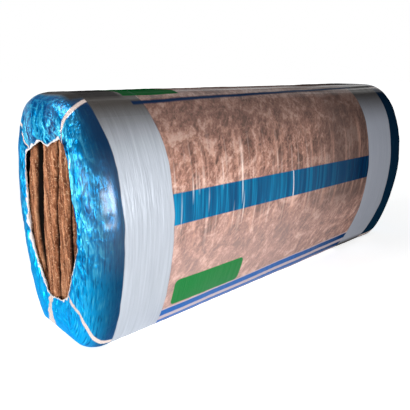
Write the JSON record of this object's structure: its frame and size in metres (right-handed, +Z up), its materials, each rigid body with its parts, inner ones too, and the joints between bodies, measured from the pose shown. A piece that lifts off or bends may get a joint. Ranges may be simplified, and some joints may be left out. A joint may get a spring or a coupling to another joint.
{
  "type": "mineral wool slab pack",
  "caption": "Mineral wool insulation slabs stood on edge side by side in a printed blue and clear shrink-film sleeve, open at both ends.",
  "frame": {"origin": "middle of the flat sole that the pack stands on", "axes": "+X along the slabs, +Y across the stack, +Z up"},
  "size_m": [1.351, 0.424, 0.6022],
  "materials": {
    "film": "gloss",
    "wool": "matt"
  },
  "bodies": {
    "root": {"film_sleeve": "film", "wool_slab_1": "wool", "wool_slab_2": "wool", "wool_slab_3": "wool", "wool_slab_4": "wool", "wool_slab_5": "wool"}
  },
  "joints": []
}
